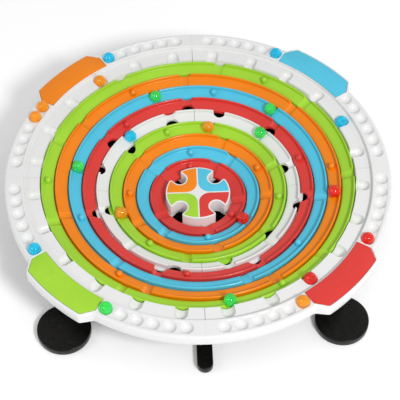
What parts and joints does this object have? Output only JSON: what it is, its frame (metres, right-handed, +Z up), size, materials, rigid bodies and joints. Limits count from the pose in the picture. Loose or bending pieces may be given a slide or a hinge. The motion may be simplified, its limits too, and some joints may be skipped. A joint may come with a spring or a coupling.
{
  "type": "maze ball puzzle",
  "caption": "Tabletop ball maze: a shallow bowl of coloured rings that turn round a fixed hub, with gates, traps, loose balls, storage cups round the rim and a low stand.",
  "frame": {"origin": "on the table under the centre of the hub", "axes": "+Z up along the axis of the rings; +X and +Y run along two of the four radial joints of the frame, with a handle pad between each pair of joints"},
  "size_m": [0.438, 0.438, 0.0962],
  "materials": {
    "white_plastic": "satin moulded",
    "green_plastic": "satin moulded",
    "orange_plastic": "satin moulded",
    "blue_plastic": "satin moulded",
    "red_plastic": "satin moulded",
    "black_plastic": "fine matt moulded",
    "rubber": "matt",
    "steel": "zinc plated",
    "ball_blue": "polished, translucent",
    "ball_orange": "polished, translucent",
    "ball_green": "polished, translucent",
    "ball_red": "polished, translucent"
  },
  "bodies": {
    "root": {"frame_ne": "white_plastic", "frame_nw": "white_plastic", "frame_sw": "white_plastic", "frame_se": "white_plastic", "pad_blue": "blue_plastic", "pad_orange": "orange_plastic", "pad_green": "green_plastic", "pad_red": "red_plastic", "mid_ring_ne": "white_plastic", "mid_ring_nw": "white_plastic", "mid_ring_sw": "white_plastic", "mid_ring_se": "white_plastic", "hub": "white_plastic", "hub_inlay_blue": "blue_plastic", "hub_inlay_orange": "orange_plastic", "hub_inlay_green": "green_plastic", "hub_inlay_red": "red_plastic", "catch_tray": "black_plastic", "stand_base": "black_plastic", "column_ne": "black_plastic", "column_nw": "black_plastic", "column_sw": "black_plastic", "column_se": "black_plastic", "column_screw_ne": "steel", "column_screw_nw": "steel", "column_screw_sw": "steel", "column_screw_se": "steel", "rubber_pad_ne": "rubber", "rubber_pad_nw": "rubber", "rubber_pad_sw": "rubber", "rubber_pad_se": "rubber"},
    "ring_outer_green": {"ring_outer_green": "green_plastic"},
    "ring_outer_orange": {"ring_outer_orange": "orange_plastic"},
    "ring_outer_blue": {"ring_outer_blue": "blue_plastic"},
    "ring_outer_red": {"ring_outer_red": "red_plastic"},
    "ring_inner_green": {"ring_inner_green": "green_plastic"},
    "ring_inner_orange": {"ring_inner_orange": "orange_plastic"},
    "ring_inner_blue": {"ring_inner_blue": "blue_plastic"},
    "ring_inner_red": {"ring_inner_red": "red_plastic"},
    "ball_blue_stored_a": {"ball_blue_stored_a": "ball_blue"},
    "ball_blue_stored_b": {"ball_blue_stored_b": "ball_blue"},
    "ball_blue_stored_c": {"ball_blue_stored_c": "ball_blue"},
    "ball_orange_stored_a": {"ball_orange_stored_a": "ball_orange"},
    "ball_orange_stored_b": {"ball_orange_stored_b": "ball_orange"},
    "ball_orange_stored_c": {"ball_orange_stored_c": "ball_orange"},
    "ball_green_stored": {"ball_green_stored": "ball_green"},
    "ball_red_stored": {"ball_red_stored": "ball_red"},
    "ball_blue_station": {"ball_blue_station": "ball_blue"},
    "ball_orange_station": {"ball_orange_station": "ball_orange"},
    "ball_red_station": {"ball_red_station": "ball_red"},
    "ball_green_on_green": {"ball_green_on_green": "ball_green"},
    "ball_red_on_orange": {"ball_red_on_orange": "ball_red"},
    "ball_green_on_blue_a": {"ball_green_on_blue_a": "ball_green"},
    "ball_green_on_blue_b": {"ball_green_on_blue_b": "ball_green"},
    "ball_green_on_blue_c": {"ball_green_on_blue_c": "ball_green"},
    "ball_orange_on_green_a": {"ball_orange_on_green_a": "ball_orange"},
    "ball_orange_on_green_b": {"ball_orange_on_green_b": "ball_orange"},
    "ball_red_on_blue": {"ball_red_on_blue": "ball_red"},
    "ball_green_on_mid": {"ball_green_on_mid": "ball_green"},
    "ball_blue_on_mid": {"ball_blue_on_mid": "ball_blue"}
  },
  "joints": [
    {"name": "turn_outer_green", "type": "hinge", "parent": "root", "child": "ring_outer_green", "pos_m": [0, 0, 0.06], "axis": [0, 0, 1], "continuous": true},
    {"name": "turn_outer_orange", "type": "hinge", "parent": "root", "child": "ring_outer_orange", "pos_m": [0, 0, 0.06], "axis": [0, 0, 1], "continuous": true},
    {"name": "turn_outer_blue", "type": "hinge", "parent": "root", "child": "ring_outer_blue", "pos_m": [0, 0, 0.06], "axis": [0, 0, 1], "continuous": true},
    {"name": "turn_outer_red", "type": "hinge", "parent": "root", "child": "ring_outer_red", "pos_m": [0, 0, 0.06], "axis": [0, 0, 1], "continuous": true},
    {"name": "turn_inner_green", "type": "hinge", "parent": "root", "child": "ring_inner_green", "pos_m": [0, 0, 0.06], "axis": [0, 0, 1], "continuous": true},
    {"name": "turn_inner_orange", "type": "hinge", "parent": "root", "child": "ring_inner_orange", "pos_m": [0, 0, 0.06], "axis": [0, 0, 1], "continuous": true},
    {"name": "turn_inner_blue", "type": "hinge", "parent": "root", "child": "ring_inner_blue", "pos_m": [0, 0, 0.06], "axis": [0, 0, 1], "continuous": true},
    {"name": "turn_inner_red", "type": "hinge", "parent": "root", "child": "ring_inner_red", "pos_m": [0, 0, 0.06], "axis": [0, 0, 1], "continuous": true},
    {"name": "lift_blue_stored_a", "type": "slide", "parent": "root", "child": "ball_blue_stored_a", "axis": [0, 0, 1], "range_m": [0, 0.06]},
    {"name": "lift_blue_stored_b", "type": "slide", "parent": "root", "child": "ball_blue_stored_b", "axis": [0, 0, 1], "range_m": [0, 0.06]},
    {"name": "lift_blue_stored_c", "type": "slide", "parent": "root", "child": "ball_blue_stored_c", "axis": [0, 0, 1], "range_m": [0, 0.06]},
    {"name": "lift_orange_stored_a", "type": "slide", "parent": "root", "child": "ball_orange_stored_a", "axis": [0, 0, 1], "range_m": [0, 0.06]},
    {"name": "lift_orange_stored_b", "type": "slide", "parent": "root", "child": "ball_orange_stored_b", "axis": [0, 0, 1], "range_m": [0, 0.06]},
    {"name": "lift_orange_stored_c", "type": "slide", "parent": "root", "child": "ball_orange_stored_c", "axis": [0, 0, 1], "range_m": [0, 0.06]},
    {"name": "lift_green_stored", "type": "slide", "parent": "root", "child": "ball_green_stored", "axis": [0, 0, 1], "range_m": [0, 0.06]},
    {"name": "lift_red_stored", "type": "slide", "parent": "root", "child": "ball_red_stored", "axis": [0, 0, 1], "range_m": [0, 0.06]},
    {"name": "lift_blue_station", "type": "slide", "parent": "root", "child": "ball_blue_station", "axis": [0, 0, 1], "range_m": [0, 0.06]},
    {"name": "lift_orange_station", "type": "slide", "parent": "root", "child": "ball_orange_station", "axis": [0, 0, 1], "range_m": [0, 0.06]},
    {"name": "lift_red_station", "type": "slide", "parent": "root", "child": "ball_red_station", "axis": [0, 0, 1], "range_m": [0, 0.06]},
    {"name": "lift_green_on_green", "type": "slide", "parent": "ring_outer_green", "child": "ball_green_on_green", "axis": [0, 0, 1], "range_m": [0, 0.06]},
    {"name": "lift_red_on_orange", "type": "slide", "parent": "ring_outer_orange", "child": "ball_red_on_orange", "axis": [0, 0, 1], "range_m": [0, 0.06]},
    {"name": "lift_green_on_blue_a", "type": "slide", "parent": "ring_outer_blue", "child": "ball_green_on_blue_a", "axis": [0, 0, 1], "range_m": [0, 0.06]},
    {"name": "lift_green_on_blue_b", "type": "slide", "parent": "ring_outer_blue", "child": "ball_green_on_blue_b", "axis": [0, 0, 1], "range_m": [0, 0.06]},
    {"name": "lift_green_on_blue_c", "type": "slide", "parent": "ring_outer_blue", "child": "ball_green_on_blue_c", "axis": [0, 0, 1], "range_m": [0, 0.06]},
    {"name": "lift_orange_on_green_a", "type": "slide", "parent": "ring_inner_green", "child": "ball_orange_on_green_a", "axis": [0, 0, 1], "range_m": [0, 0.06]},
    {"name": "lift_orange_on_green_b", "type": "slide", "parent": "ring_inner_green", "child": "ball_orange_on_green_b", "axis": [0, 0, 1], "range_m": [0, 0.06]},
    {"name": "lift_red_on_blue", "type": "slide", "parent": "ring_inner_blue", "child": "ball_red_on_blue", "axis": [0, 0, 1], "range_m": [0, 0.06]},
    {"name": "lift_green_on_mid", "type": "slide", "parent": "root", "child": "ball_green_on_mid", "axis": [0, 0, 1], "range_m": [0, 0.06]},
    {"name": "lift_blue_on_mid", "type": "slide", "parent": "root", "child": "ball_blue_on_mid", "axis": [0, 0, 1], "range_m": [0, 0.06]}
  ]
}
